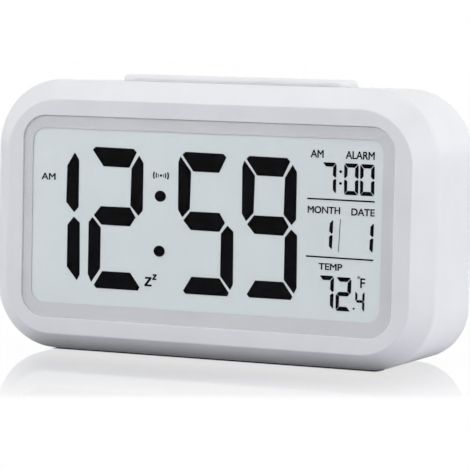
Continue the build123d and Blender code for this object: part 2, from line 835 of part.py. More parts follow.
for x, name in zip(key_x, key_names):
    with BuildPart() as key_switch:
        with BuildSketch(front_at(key_board_back)):
            with Locations((x, panel_z)):
                RectangleRounded(switch_side, switch_side, switch_corner)
        extrude(amount=-key_switch_height)
        with BuildSketch(front_at(key_switch_top)):
            with Locations((x, panel_z)):
                Circle(key_stem_radius + run_gap)
        extrude(amount=key_stem_depth + key_travel + bore_spare, mode=Mode.SUBTRACT)
    save(key_switch, name.replace("button", "key_switch"))

    with BuildPart() as button:
        with BuildSketch(front_at(key_flange_top)):
            with Locations((x, panel_z)):
                RectangleRounded(key_width, key_height, key_corner)
        extrude(amount=-(key_face - key_flange_top))
        fillet(button.faces().sort_by(Axis.Y)[-1].edges(), radius=key_round)
        with BuildSketch(front_at(key_flange_top)):
            with Locations((x, panel_z)):
                RectangleRounded(key_width + 2 * key_flange, key_height + 2 * key_flange, key_corner)
        extrude(amount=key_flange_thickness)
        with BuildSketch(front_at(key_flange_base)):
            with Locations((x, panel_z)):
                Circle(key_stem_radius)
        extrude(amount=key_travel + press_gap + key_stem_depth)
    save(button, name)

# Light switch: body on the key board and the knob in the panel slot
with BuildPart() as light_switch_body:
    with BuildSketch(front_at(key_board_back)):
        with Locations((slide_x, panel_z)):
            Rectangle(slide_body_width, slide_body_height)
    extrude(amount=-(slide_body_face - key_board_back))
    with BuildSketch(front_at(knob_stem_end - slide_slot_spare)):
        with Locations((slide_x, panel_z)):
            Rectangle(knob_stem_width + slide_travel + 2 * run_gap, knob_stem_height + 2 * run_gap)
    extrude(amount=-(knob_stem_reach + slide_slot_spare), mode=Mode.SUBTRACT)
save(light_switch_body, "light_switch_body")

with BuildPart() as light_switch_knob:
    with BuildSketch(front_at(knob_base)):
        with Locations((knob_x, panel_z)):
            Rectangle(knob_width, knob_height)
    extrude(amount=-(case_depth - knob_inset - knob_base))
    fillet(light_switch_knob.faces().sort_by(Axis.Y)[-1].edges(), radius=knob_round)
    with BuildSketch(front_at(case_depth - knob_inset - knob_groove_depth)):
        with Locations(*knob_grooves):
            Rectangle(knob_groove_width, knob_height)
    extrude(amount=-overrun, mode=Mode.SUBTRACT)
    with BuildSketch(front_at(knob_base)):
        with Locations((knob_x, panel_z)):
            Rectangle(knob_stem_width, knob_stem_height)
    extrude(amount=knob_gap + knob_stem_reach)
save(light_switch_knob, "light_switch_knob")

# Battery cells, the middle one turned round
for cell_z, turn, name in zip(cell_heights, (1, -1, 1), ("cell_top", "cell_middle", "cell_bottom")):
    with BuildPart() as cell:
        with BuildSketch(front_at(cell_depth)):
            with BuildLine():
                Polyline(
                    (-turn * cell_length / 2, cell_z),
                    (-turn * cell_length / 2, cell_z + cell_radius - cell_round),
                    (-turn * (cell_length / 2 - cell_round), cell_z + cell_radius),
                    (turn * (cell_length / 2 - cell_nub_length - cell_round), cell_z + cell_radius),
                    (turn * (cell_length / 2 - cell_nub_length), cell_z + cell_radius - cell_round),
                    (turn * (cell_length / 2 - cell_nub_length), cell_z + cell_nub_radius),
                    (turn * cell_length / 2, cell_z + cell_nub_radius),
                    (turn * cell_length / 2, cell_z),
                    close=True,
                )
            make_face()
        revolve(axis=Axis(point_at(0, cell_depth, cell_z), (1, 0, 0)))
    save(cell, name)

# Battery contacts: a plate on the bay's end wall with one bent leaf for each cell
contacts = (
    (1, cell_heights[0:1], "contact_plus"),
    (-1, cell_heights[0:2], "bridge_left"),
    (1, cell_heights[1:3], "bridge_right"),
    (-1, cell_heights[2:3], "contact_minus"),
)
for side, heights, name in contacts:
    with BuildPart() as contact:
        with BuildSketch(front_at(contact_front)):
            with Locations((side * (plate_x + contact_thickness / 2), (heights[0] + heights[-1]) / 2)):
                Rectangle(contact_thickness, heights[0] - heights[-1] + contact_height)
            for height in heights:
                with BuildLine():
                    Polyline(
                        (side * plate_x, height + leaf_base),
                        (side * leaf_x, height + leaf_tip),
                        (side * leaf_x, height - leaf_tip),
                        (side * plate_x, height - leaf_base),
                        (side * plate_x, height - leaf_base + 2 * contact_thickness),
                        (side * (leaf_x + contact_thickness), height - leaf_tip),
                        (side * (leaf_x + contact_thickness), height + leaf_tip),
                        (side * plate_x, height + leaf_base - 2 * contact_thickness),
                        close=True,
                    )
                make_face()
        extrude(amount=-contact_width)
        if len(heights) == 1:
            with BuildSketch(front_at(tab_depth)):
                with Locations((side * (plate_x + tab_reach / 2), heights[0])):
                    Rectangle(tab_reach, tab_height)
            extrude(amount=-contact_thickness)
    save(contact, name)

# Battery door with a hinge knuckle, two pins and a latch tongue
with BuildPart() as battery_door:
    with BuildSketch(front_at(door_back)):
        with Locations((0, (hinge_z + door_top) / 2)):
            Rectangle(door_width, door_top - hinge_z)
    extrude(amount=-door_thickness)
    fillet(battery_door.edges().filter_by(Axis.Y).sort_by(Axis.Z)[-2:], radius=door_corner)
    with BuildSketch(side_at(-door_width / 2)):
        with Locations((hinge_depth, hinge_z)):
            Circle(knuckle_radius)
    extrude(amount=door_width)
    with BuildSketch(side_at(-door_width / 2 - hinge_pin_length)):
        with Locations((hinge_depth, hinge_z)):
            Circle(hinge_pin_radius)
    extrude(amount=door_width + 2 * hinge_pin_length)
    with BuildSketch(front_at(door_back)):
        with Locations(*[(half * latch_width / 2, door_top - latch_length / 2) for half in (-1, 1)]):
            Rectangle(latch_slit, latch_length)
    extrude(amount=-door_thickness, mode=Mode.SUBTRACT)
    with BuildSketch(front_at(case_depth - latch_rib_depth)):
        with Locations(*[(0, door_top - (step + 1) * latch_rib_pitch) for step in range(latch_rib_count)]):
            Rectangle(latch_rib_length, latch_rib_width)
    extrude(amount=-latch_rib_depth, mode=Mode.SUBTRACT)
save(battery_door, "battery_door")

# Buzzer cup and disc behind the sound holes
with BuildPart() as buzzer_cup:
    with BuildSketch(front_at(wall_front - buzzer_height)):
        with Locations((buzzer_x, buzzer_z)):
            Circle(buzzer_radius)
    extrude(amount=-(buzzer_height - buzzer_shelf))
    with BuildSketch(front_at(wall_front - buzzer_height + buzzer_floor)):
        with Locations((buzzer_x, buzzer_z)):
            Circle(buzzer_disc_radius - buzzer_shelf)
    extrude(amount=-case_depth, mode=Mode.SUBTRACT)
    with BuildSketch(front_at(buzzer_disc_depth)):
        with Locations((buzzer_x, buzzer_z)):
            Circle(buzzer_disc_radius + slip_gap)
    extrude(amount=-case_depth, mode=Mode.SUBTRACT)
save(buzzer_cup, "buzzer_cup")

with BuildPart() as buzzer_disc:
    with BuildSketch(front_at(buzzer_disc_depth)):
        with Locations((buzzer_x, buzzer_z)):
            Circle(buzzer_disc_radius)
    extrude(amount=-buzzer_disc_thickness)
save(buzzer_disc, "buzzer_disc")

# Rubber feet let into the underside
for side, hand in ((-1, "left"), (1, "right")):
    for depth, end in zip(foot_depths, ("front", "rear")):
        with BuildPart() as foot:
            with BuildSketch(Plane.XY):
                with Locations((side * foot_x, front_y + depth)):
                    RectangleRounded(foot_length, foot_width, foot_corner)
            extrude(amount=foot_thickness)
            chamfer(foot.faces().sort_by(Axis.Z)[0].edges(), length=foot_edge)
        save(foot, f"foot_{end}_{hand}")

# Screws, plain shanks and heads, one node for each size and place
with BuildPart() as case_screws:
    with BuildSketch(front_at(head_bore_floor)):
        with Locations(*posts):
            Circle(case_head_radius)
    extrude(amount=-case_head_height)
    with BuildSketch(front_at(head_bore_floor)):
        with Locations(*posts):
            Circle(boss_bore - slip_gap)
    extrude(amount=post_floor + case_screw_grip)
save(case_screws, "case_screws")

with BuildPart() as board_screws:
    with BuildSketch(front_at(board_back)):
        with Locations(*ears):
            Circle(small_head_radius)
    extrude(amount=-small_head_height)
    with BuildSketch(front_at(board_back)):
        with Locations(*ears):
            Circle(pillar_bore - slip_gap)
    extrude(amount=board_thickness + ear_thickness + small_screw_grip)
save(board_screws, "board_screws")

with BuildPart() as switch_screws:
    with BuildSketch(front_at(key_board_front)):
        with Locations(*key_mounts):
            Circle(small_head_radius)
    extrude(amount=small_head_height)
    with BuildSketch(front_at(key_board_front)):
        with Locations(*key_mounts):
            Circle(key_mount_bore - slip_gap)
    extrude(amount=-(key_board_thickness + small_screw_grip))
    with BuildSketch(top_at(snooze_board_top - snooze_board_thickness)):
        with Locations(*snooze_mounts):
            Circle(small_head_radius)
    extrude(amount=-small_head_height)
    with BuildSketch(top_at(snooze_board_top - snooze_board_thickness)):
        with Locations(*snooze_mounts):
            Circle(snooze_mount_bore - slip_gap)
    extrude(amount=snooze_board_thickness + small_screw_grip)
save(switch_screws, "switch_screws")

# Leads from the contacts and the buzzer to the main board
header_mouth = board_back + header_floor
lead_runs = (
    (
        "lead_plus",
        point_at(plate_x + tab_reach + lead_radius, tab_depth, cell_heights[0]),
        point_at(header_x, header_mouth, header_z),
    ),
    (
        "lead_minus",
        point_at(-plate_x - tab_reach - lead_radius, tab_depth, cell_heights[2]),
        point_at(-header_x, header_mouth, header_z),
    ),
)
for name, start, end in lead_runs:
    with BuildPart() as lead:
        with BuildLine() as path:
            Spline(start, end, tangents=((0, -1, 0), (0, -1, 0)))
        with BuildSketch(Plane(origin=path.line @ 0, z_dir=path.line % 0)):
            Circle(lead_radius)
        sweep(path=path.line)
    save(lead, name)

# Flat cables from the key board and the snooze board to the main board
snooze_edge = bar_depth - snooze_board_span / 2
snooze_cable_z = snooze_board_top - snooze_board_thickness / 2
key_run = (
    (board_back, panel_z),
    (board_back + ribbon_stub, panel_z),
    ((board_back + key_board_front) / 2, panel_z - ribbon_drop),
    (key_board_front - ribbon_stub, panel_z),
    (key_board_front, panel_z),
)
snooze_run = (
    (board_back, snooze_cable_z - ribbon_drop),
    (board_back + ribbon_stub, snooze_cable_z - ribbon_drop),
    (snooze_edge - ribbon_stub, snooze_cable_z),
    (snooze_edge, snooze_cable_z),
)
ribbon_runs = (("key_ribbon", key_ribbon_x, key_run), ("snooze_ribbon", snooze_ribbon_x, snooze_run))
for name, x, run in ribbon_runs:
    with BuildPart() as ribbon:
        with BuildSketch(side_at(x - ribbon_width / 2)):
            with BuildLine():
                FilletPolyline(*run, radius=ribbon_bend)
            trace(line_width=ribbon_thickness)
        extrude(amount=ribbon_width)
    save(ribbon, name)
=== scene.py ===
import json
from math import cos, pi, radians, sin

import bpy
from mathutils import Matrix, Vector


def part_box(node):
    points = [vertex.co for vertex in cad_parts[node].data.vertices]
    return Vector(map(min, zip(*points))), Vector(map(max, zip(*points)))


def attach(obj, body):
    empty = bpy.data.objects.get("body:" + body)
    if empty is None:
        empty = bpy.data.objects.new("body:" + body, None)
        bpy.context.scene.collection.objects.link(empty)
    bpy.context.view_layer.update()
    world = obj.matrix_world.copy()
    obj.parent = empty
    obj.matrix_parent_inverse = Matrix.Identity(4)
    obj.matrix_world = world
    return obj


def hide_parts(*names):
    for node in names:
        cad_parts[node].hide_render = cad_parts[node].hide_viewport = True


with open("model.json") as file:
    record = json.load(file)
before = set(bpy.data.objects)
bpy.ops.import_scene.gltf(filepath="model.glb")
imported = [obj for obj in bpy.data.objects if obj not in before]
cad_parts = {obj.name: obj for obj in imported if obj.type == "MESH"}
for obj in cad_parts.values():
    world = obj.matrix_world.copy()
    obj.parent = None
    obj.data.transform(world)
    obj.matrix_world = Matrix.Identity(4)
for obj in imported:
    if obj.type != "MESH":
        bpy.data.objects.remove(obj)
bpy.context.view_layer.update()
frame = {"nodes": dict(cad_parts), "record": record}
nodes = frame["nodes"]
slot_of = {part["node"]: part["material_slot"] for part in frame["record"]["subparts"]}

# All lengths below are in millimetres, and MM turns them into metres
MM = 0.001
merge_gap = 0.001
upright = (pi / 2, 0, 0)
white = (1.0, 1.0, 1.0)

# Camera, read from the photograph's own perspective: place, angles in degrees, lens and reach
camera_place = (278.8, -700.7, 96.4)
camera_turn = 21.606
camera_dip = 4.601
camera_roll = 1.26
camera_lens = 195.45
camera_sensor = 36.0
camera_near = 10.0
camera_far = 100000.0

# Lamps: name, place, half extents of the panel, power in watts and colour
lamp_aim = (0.0, 0.0, 40.0)
lamps = (
    ("top_panel", (0.0, 60.0, 950.0), (500.0, 400.0), 3.8, (1.0, 0.995, 0.99)),
    ("right_panel", (950.0, 120.0, 330.0), (400.0, 400.0), 6.2, (0.99, 0.995, 1.0)),
    ("left_panel", (-900.0, -450.0, 420.0), (350.0, 350.0), 2.4, (1.0, 0.995, 0.99)),
    ("front_panel", (-350.0, -1000.0, 780.0), (400.0, 250.0), 4.9, (1.0, 1.0, 1.0)),
)

# Sky: its strength at the horizon and overhead, and the height at which it is as dim as overhead
sky_low = 0.45
sky_high = 0.03
sky_rise = 0.6

# Floor: its tone, the shade painted into its colour under the clock and how far that painted shade reaches, and how
# white it looks near the clock
floor_half = 6000.0
floor_tone = (0.78, 0.784, 0.83)
painted_floor_shade = (0.03, 0.03, 0.034)
painted_shade_reach = 17.0
floor_glow_near = 0.97
floor_fade_end = 90.0
floor_sheen = 0.3

# Where the base meets the floor, and the width of the shadow line painted round it
base_half = 50.0
base_front = -13.0
base_back = 20.0
painted_contact_reach = 2.5

# Reflection in the floor: its strength near the base and further out, and where it fades and ends in front
mirror_near = 0.24
mirror_share = 0.46
mirror_rise = 40.0
mirror_turn = 30.2
mirror_fade = (40.0, 88.0)
mirror_far = 0.5
mirror_end = (80.0, 92.0)
mirror_blur = 0.05

# Display lens: corner, broken front edge, thickness and the air behind it
lens_corner = 7.1
lens_edge = 0.06
lens_thick = 0.15
lens_air = 0.03
corner_steps = 12
edge_steps = 2

# Printed border behind the lens: its film, its reach past the lens, and the edges and corner of its window
border_film = 0.05
border_reach = 0.1
border_left = -54.75
border_right = 54.15
border_low = 14.77
border_high = 66.41
border_corner = 4.0

# Front glass of the display: the air before and behind it, and its edges and corner
glass_air = 0.15
glass_seat = 0.02
glass_half = 56.0
glass_low = 13.9
glass_high = 67.3
glass_corner = 1.0

# Case screws: pan heads with a cross recess, on plain shanks with a blunt tip
head_radius = 2.6
head_height = 1.8
head_round = 0.95
head_steps = 6
shank_radius = 1.1
tip_round = 0.5
tip_steps = 3
cross_width = 0.72
cross_length = 3.1
cross_depth = 1.15
cross_taper = 0.6
screw_sides = 48
smooth_angle = 35.0

# Printed words on the control panel: under its buttons and beside its switch
panel_recess = 1.2
print_film = 0.04
print_height = 1.25
print_drop = 1.35
key_words = (("button_set", "SET"), ("button_alarm", "ALARM"), ("button_up", "UP"), ("button_down", "DOWN"))
switch_word = "LIGHT"
switch_middle = -27.0
switch_ends = (("ON", 7.6), ("OFF", -8.2))

# Display ink: its film, and how far its middle lies from the middle of the panel
ink_film = 0.08
ink_across = 0.31
ink_up = 0.06

# Bars of the large and the small figures, as corners about the middle of the figure
large_width = 17.4
large_height = 40.6
large_bars = {
    "top": ((-7.35, 19.45), (-3.95, 14.8), (3.9, 14.7), (6.05, 19.2), (5.05, 20.15), (-6.45, 20.3)),
    "upper_left": ((-7.95, 18.95), (-8.55, 17.2), (-8.4, 3.7), (-7.05, 1.55), (-4.8, 4.05), (-4.6, 14.7)),
    "upper_right": ((6.8, 18.3), (4.55, 14.45), (4.4, 3.95), (6.9, 1.1), (8.2, 2.7), (8.15, 16.2)),
    "middle": ((-6.7, 0.7), (-4.35, -1.95), (4.4, -2.05), (6.05, 0.6), (4.3, 3.35), (-4.6, 3.35)),
    "lower_left": ((-7.1, 0.1), (-8.24, -1.4), (-8.24, -16.3), (-7.2, -18.65), (-4.5, -14.6), (-4.5, -2.85)),
    "lower_right": ((6.8, -0.15), (4.9, -2.55), (4.9, -14.65), (8.05, -18.45), (8.85, -16.8), (8.65, -1.8)),
    "bottom": ((-6.35, -19.45), (-5.55, -20.3), (7.15, -20.3), (7.65, -19.3), (4.7, -15.3), (-3.85, -15.3)),
}
small_width = 4.3
small_height = 8.9
small_bars = {
    "top": ((-1.95, 4.3), (-1.05, 3.3), (1.0, 3.3), (1.9, 4.25), (1.6, 4.45), (-1.65, 4.45)),
    "upper_left": ((-2.0, 4.1), (-2.15, 3.9), (-2.1, 0.55), (-1.85, 0.2), (-1.15, 0.9), (-1.15, 3.1)),
    "upper_right": ((1.95, 4.05), (1.15, 3.1), (1.1, 0.9), (1.8, 0.18), (2.15, 0.55), (2.1, 3.8)),
    "middle": ((-1.8, 0.05), (-1.2, -0.5), (1.2, -0.5), (1.75, 0.05), (1.2, 0.6), (-1.2, 0.6)),
    "lower_left": ((-1.85, -0.12), (-2.1, -0.4), (-2.0, -3.85), (-1.9, -4.1), (-1.15, -3.3), (-1.15, -0.62)),
    "lower_right": ((1.8, -0.1), (1.15, -0.62), (1.2, -3.3), (2.0, -4.15), (2.15, -3.8), (2.15, -0.4)),
    "bottom": ((-1.85, -4.25), (-1.6, -4.45), (1.75, -4.45), (1.85, -4.25), (1.0, -3.3), (-1.0, -3.3)),
}
figures = {
    "0": ("top", "upper_right", "lower_right", "bottom", "lower_left", "upper_left"),
    "1": ("upper_right", "lower_right"),
    "2": ("top", "upper_right", "middle", "lower_left", "bottom"),
    "4": ("upper_left", "upper_right", "middle", "lower_right"),
    "5": ("top", "upper_left", "middle", "lower_right", "bottom"),
    "7": ("top", "upper_right", "lower_right"),
    "9": ("top", "upper_left", "upper_right", "middle", "lower_right", "bottom"),
}

# Shown figures: piece name, figure, middle across and up, width, height, slant
large_figures = (
    ("hour_tens", "1", -48.75, 0.0, 18.44, 41.6, 0.0),
    ("hour_units", "2", -28.05, -0.08, 18.27, 41.5, 0.0),
    ("minute_tens", "5", 0.25, -0.3, 17.75, 41.15, 0.0),
    ("minute_units", "9", 19.95, -0.45, 17.4, 40.6, 0.0),
)
small_figures = (
    ("alarm_hour", "7", 37.84, 14.49, 4.2, 8.9, 0.0),
    ("alarm_tens", "0", 44.4, 14.45, 4.3, 8.9, 0.0),
    ("alarm_units", "0", 49.16, 14.4, 4.3, 8.9, 0.0),
    ("month_units", "1", 37.12, -1.41, 4.3, 9.0, 0.03),
    ("date_units", "1", 49.27, -1.77, 4.3, 8.9, 0.03),
    ("heat_tens", "7", 37.78, -17.97, 4.45, 9.6, 0.01),
    ("heat_units", "2", 42.9, -18.18, 4.6, 9.6, 0.01),
    ("heat_tenths", "4", 47.87, -19.95, 2.8, 5.9, 0.01),
)

# Dots: piece name, middles, half width and half height
shown_dots = (
    ("clock_colon", ((-13.98, 7.08), (-14.0, -8.93)), 1.77, 1.62),
    ("alarm_colon", ((41.2, 16.5), (41.25, 13.15)), 0.4, 0.4),
    ("heat_point", ((46.12, -22.1),), 0.32, 0.3),
)
dot_sides = 40

# Words: piece name, letters, left, right, low and high edges, and how far their strokes are thickened
shown_words = (
    ("clock_half", "AM", -52.3, -47.7, 10.4, 12.4),
    ("alarm_half", "AM", 32.1, 36.0, 20.2, 22.4),
    ("alarm_word", "ALARM", 42.6, 51.2, 20.15, 22.4),
    ("month_word", "MONTH", 31.6, 41.35, 4.4, 6.45),
    ("date_word", "DATE", 44.7, 51.6, 4.25, 6.3),
    ("heat_word", "TEMP", 35.3, 42.4, -11.55, -9.65),
    ("heat_unit", "F", 47.9, 49.35, -16.1, -13.35),
)
word_weight = 0.11

# Sleep sign: piece name, slope of the letter, lean and height of its bars, reach of the top bar and of the foot
sleep_letters = (
    ("sleep_large", ((-17.15, -17.2), (-18.41, -18.84), (-17.57, -18.84), (-16.32, -17.2)), 0.13, 0.55, 1.22, 1.46),
    ("sleep_small", ((-15.28, -16.16), (-15.96, -17.0), (-15.36, -17.0), (-14.68, -16.16)), 0.09, 0.42, 0.66, 0.7),
)

# Rules: piece name, ends and half thickness
shown_rules = (
    ("upper_rule", (31.35, 8.5), (51.5, 8.4), 0.21),
    ("lower_rule", (31.4, -7.9), (51.55, -8.1), 0.21),
    ("date_rule", (41.12, -6.25), (41.5, 3.05), 0.075),
)

# Alarm sign: a dot between two sets of arcs, each with its radius, half angle and line
sign_middle = (-13.9, 13.1)
sign_dot = 0.36
sign_arcs = ((0.85, 30.0, 0.2), (1.5, 28.0, 0.34), (2.3, 26.0, 0.42))
sign_steps = 12

# Degree sign: a small ring
degree_middle = (47.4, -13.15)
degree_radius = 0.36
degree_line = 0.16

# Moulded plastic: contrast and detail of its clouds and grain, and how far they sway the gloss
tone_band = (0.3, 0.7)
cloud_detail = 3.0
grain_detail = 4.0
cloud_gloss = 0.08
grain_gloss = 0.12

# Metal: size and shades of its stains, how far lines and stains sway the gloss, and depth of the lines
stain_size = 6.0
stain_shades = (0.9, 1.06)
line_gloss = 0.2
stain_gloss = 0.1
line_depth = 0.003

# Circuit boards: tracks, tinned pads, and patches in which the tracks run one way or the other
track_pitch = 1.8
track_share = 0.16
track_depth = 0.03
pad_pitch = 4.2
pad_share = 0.12
patch_size = 7.0
patch_rows = 0.54
patch_files = 0.46
board_mask = (0.018, 0.13, 0.05)
board_track = (0.035, 0.22, 0.09)
board_tin = (0.72, 0.71, 0.68)
board_rough = 0.3
board_grain = 0.5
board_gloss = 0.12

# Dry cells: bare crimp, copper band and the pale line at its edge, on a dark wrap
cell_crimp = 1.7
cell_band = 13.0
cell_line = 0.25
cell_dark = (0.012, 0.014, 0.02)
cell_copper = (0.5, 0.22, 0.07)
cell_pale = (0.75, 0.75, 0.74)
cell_bare = (0.7, 0.69, 0.67)
copper_share = 0.7
cell_rough = 0.24
cell_cloud = 1.5
cell_gloss = 0.14
cell_grain = 0.6
cell_depth = 0.006

# Flat cables: round wires under a grey skin, with shade painted darker in the grooves
wire_pitch = 1.27
wire_round = (0.1, 0.5)
wire_depth = 0.12
groove_shade_band = (0.3, 0.5)
ribbon_tone = (0.56, 0.57, 0.58)
groove_painted_shade = (0.33, 0.34, 0.35)
ribbon_rough = 0.4
ribbon_grain = 0.8
ribbon_gloss = 0.12

# Light guide: clear, with matt dots
guide_pitch = 1.1
guide_share = 0.3
guide_tone = (0.93, 0.96, 0.97)
guide_dot = (0.98, 0.98, 0.98)
guide_clear = 0.85
guide_bend = 1.49
guide_rough = 0.03
guide_gloss = 0.5

# Display finishes: tones, clouds and shine of glass, ink and border, and the clear lens
glass_tones = ((0.6, 0.655, 0.668), (0.615, 0.67, 0.683))
glass_cloud = 30.0
glass_shine = 0.1
ink_tones = ((0.002, 0.002, 0.0025), (0.004, 0.004, 0.0045))
ink_cloud = 2.0
ink_shine = 0.03
film_rough = 0.5
film_grain = 0.3
film_gloss = 0.1
border_shine = 0.2
lens_bend = 1.06
lens_cloud = 6.0
lens_haze = 0.012


class Wire:
    """A socket in a material, with sums written as Python."""

    def __init__(self, tree, socket=None):
        self.tree = tree
        self.socket = socket

    def put(self, value, target):
        """Links a wire to a socket, or sets a number, a vector or a colour on it."""
        if isinstance(value, Wire):
            self.tree.links.new(value.socket, target)
        elif target.type == "RGBA":
            target.default_value = (*value, 1)
        else:
            target.default_value = value

    def make(self, kind, settings=None, sockets=None):
        """Adds a node of a kind, with its settings and what its sockets hold."""
        node = self.tree.nodes.new(kind)
        for key, value in (settings or {}).items():
            setattr(node, key, value)
        for key, value in (sockets or {}).items():
            self.put(value, node.inputs[key])
        return node

    def of(self, node, key=0):
        return Wire(self.tree, node.outputs[key])

    def sum(self, kind, first, second=0.0, third=0.0):
        return self.of(self.make("ShaderNodeMath", {"operation": kind}, {0: first, 1: second, 2: third}))

    def __add__(self, other):
        return self.sum("ADD", self, other)

    def __radd__(self, other):
        return self.sum("ADD", other, self)

    def __sub__(self, other):
        return self.sum("SUBTRACT", self, other)

    def __rsub__(self, other):
        return self.sum("SUBTRACT", other, self)

    def __mul__(self, other):
        return self.sum("MULTIPLY", self, other)

    def __rmul__(self, other):
        return self.sum("MULTIPLY", other, self)

    def __truediv__(self, other):
        return self.sum("DIVIDE", self, other)

    def __gt__(self, other):
        return self.sum("GREATER_THAN", self, other)

    def __lt__(self, other):
        return self.sum("LESS_THAN", self, other)

    def most(self, other):
        return self.sum("MAXIMUM", self, other)

    def part(self):
        return self.sum("FRACT", self)

    def far(self):
        return self.sum("ABSOLUTE", self)

    def root(self):
        return self.sum("SQRT", self)

    def sway(self, reach):
        """A pattern about a half, as a swing about zero."""
        return (self - 0.5) * reach

    def stripe(self, pitch):
        """How far a place lies from the middle of its stripe, as a share of the pitch."""
        return ((self / (pitch * MM)).part() - 0.5).far()

    def band(self, low, high, start=0.0, end=1.0):
        """A smooth step from start to end between two values."""
        node = self.make(
            "ShaderNodeMapRange",
            {"interpolation_type": "SMOOTHSTEP"},
            {"Value": self, "From Min": low, "From Max": high, "To Min": start, "To Max": end},
        )
        return self.of(node)

    def blend(self, first, second):
        """A colour between two, by this share."""
        node = self.make("ShaderNodeMix", {"data_type": "RGBA"}, {"Factor": self, 6: first, 7: second})
        return self.of(node, 2)

    def mix(self, first, second):
        """A shader between two, by this share."""
        return self.of(self.make("ShaderNodeMixShader", None, {0: self, 1: first, 2: second}))


def new_tree(owner):
    """The emptied nodes of a material or a world."""
    owner.use_nodes = True
    owner.node_tree.nodes.clear()
    return owner.node_tree


class Finish:
    """One surface finish: a Principled shader fed by patterns in object space."""

    def __init__(self, name):
        self.name = name
        self.material = bpy.data.materials.new(name)
        self.start = Wire(new_tree(self.material))
        self.shader = self.start.make("ShaderNodeBsdfPrincipled")
        self.output = self.start.make("ShaderNodeOutputMaterial", None, {"Surface": self.start.of(self.shader)})
        self.place = self.start.of(self.start.make("ShaderNodeTexCoord"), "Object")

    def axes(self):
        node = self.start.make("ShaderNodeSeparateXYZ", None, {0: self.place})
        return [self.start.of(node, axis) for axis in range(3)]

    def stretched(self, scale):
        node = self.start.make("ShaderNodeMapping", None, {"Vector": self.place, "Scale": scale})
        return self.start.of(node)

    def noise(self, size, detail=2.0, place=None):
        node = self.start.make(
            "ShaderNodeTexNoise",
            None,
            {"Vector": place or self.place, "Scale": 1 / (size * MM), "Detail": detail},
        )
        return self.start.of(node, "Fac")

    def cells(self, size):
        node = self.start.make("ShaderNodeTexVoronoi", None, {"Vector": self.place, "Scale": 1 / (size * MM)})
        return self.start.of(node, "Distance")

    def set(self, **values):
        """Feeds the shader's sockets, with _ for a space in their names."""
        for key, value in values.items():
            self.start.put(value, self.shader.inputs[key.replace("_", " ")])

    def bump(self, height, depth):
        node = self.start.make("ShaderNodeBump", None, {"Height": height, "Distance": depth * MM, "Strength": 1.0})
        self.set(Normal=self.start.of(node, "Normal"))


def shade(colour, share):
    return tuple(min(1.0, part * share) for part in colour)


def moulded(name, colour, rough, grain=0.35, depth=0.012, spread=0.02, clouds=18.0):
    """Moulded plastic: spark-eroded grain, slow clouds of tone and gloss."""
    finish = Finish(name)
    slow = finish.noise(clouds, cloud_detail)
    fine = finish.noise(grain, grain_detail)
    finish.set(Base_Color=slow.band(*tone_band).blend(shade(colour, 1 - spread), shade(colour, 1 + spread)))
    finish.set(Roughness=rough + slow.sway(cloud_gloss) + fine.sway(grain_gloss))
    finish.bump(fine, depth)
    return finish


def metal(name, colour, rough, grain=0.25, stretch=(1.0, 1.0, 1.0)):
    """Bare or plated metal: fine drawn lines and faint stains."""
    finish = Finish(name)
    lines = finish.noise(grain, cloud_detail, finish.stretched(stretch))
    stains = finish.noise(stain_size, cloud_detail)
    deep, pale = (shade(colour, share) for share in stain_shades)
    finish.set(Base_Color=stains.band(*tone_band).blend(deep, pale), Metallic=1.0)
    finish.set(Roughness=rough + lines.sway(line_gloss) + stains.sway(stain_gloss))
    finish.bump(lines, line_depth)
    return finish


def board(name):
    """Circuit board: tracks under green mask, and tinned pads."""
    finish = Finish(name)
    x, y, z = finish.axes()
    patch = finish.noise(patch_size, 0.0)
    rows = (y + z).stripe(track_pitch) < track_share
    files = x.stripe(track_pitch) < track_share
    tracks = (rows * (patch > patch_rows)).most(files * (patch < patch_files))
    pads = finish.cells(pad_pitch) < pad_share
    finish.set(Base_Color=pads.blend(tracks.blend(board_mask, board_track), board_tin), Metallic=pads)
    finish.set(Roughness=board_rough + finish.noise(board_grain) * board_gloss)
    finish.bump(tracks, track_depth)
    return finish


def cell(name, plus):
    """Dry cell: dark wrap with a copper band at its plus end, and bare metal ends."""
    low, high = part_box("cell_top")
    half = (high.x - low.x) / 2
    finish = Finish(name)
    along = finish.axes()[0] * plus
    bare = (along > half - cell_crimp * MM).most(along < cell_crimp * MM - half)
    band = along > half - cell_band * MM
    line = (along - (half - cell_band * MM)).far() < cell_line * MM
    wrap = line.blend(band.blend(cell_dark, cell_copper), cell_pale)
    finish.set(Base_Color=bare.blend(wrap, cell_bare), Metallic=bare.most(band * copper_share))
    finish.set(Roughness=cell_rough + finish.noise(cell_cloud, cloud_detail) * cell_gloss)
    finish.bump(finish.noise(cell_grain, cloud_detail), cell_depth)
    return finish


def ribbon(name):
    """Flat cable: a row of round wires under grey skin, with painted shade in the grooves between them."""
    finish = Finish(name)
    wires = finish.axes()[0].stripe(wire_pitch)
    # Painted shade: the skin is coloured darker in the grooves
    finish.set(Base_Color=wires.band(*groove_shade_band).blend(ribbon_tone, groove_painted_shade))
    finish.set(Roughness=ribbon_rough + finish.noise(ribbon_grain) * ribbon_gloss)
    finish.bump(wires.band(*wire_round, 1.0, 0.0), wire_depth)
    return finish


def guide(name):
    """Clear light guide with printed dots."""
    finish = Finish(name)
    dots = finish.cells(guide_pitch) < guide_share
    finish.set(Base_Color=dots.blend(guide_tone, guide_dot))
    finish.set(Transmission_Weight=guide_clear, IOR=guide_bend, Roughness=guide_rough + dots * guide_gloss)
    return finish


def display_film(name, tones, shine):
    """Matt film of the display, whose cloudy colour is set by its tones."""
    finish = Finish(name)
    finish.set(Base_Color=tones(finish))
    finish.set(Roughness=film_rough + finish.noise(film_grain).sway(film_gloss), Specular_IOR_Level=shine)
    return finish


finishes = {}


def keep(finish):
    """Puts a finish on the list that the nodes choose from."""
    finishes[finish.name] = finish.material
    return finish


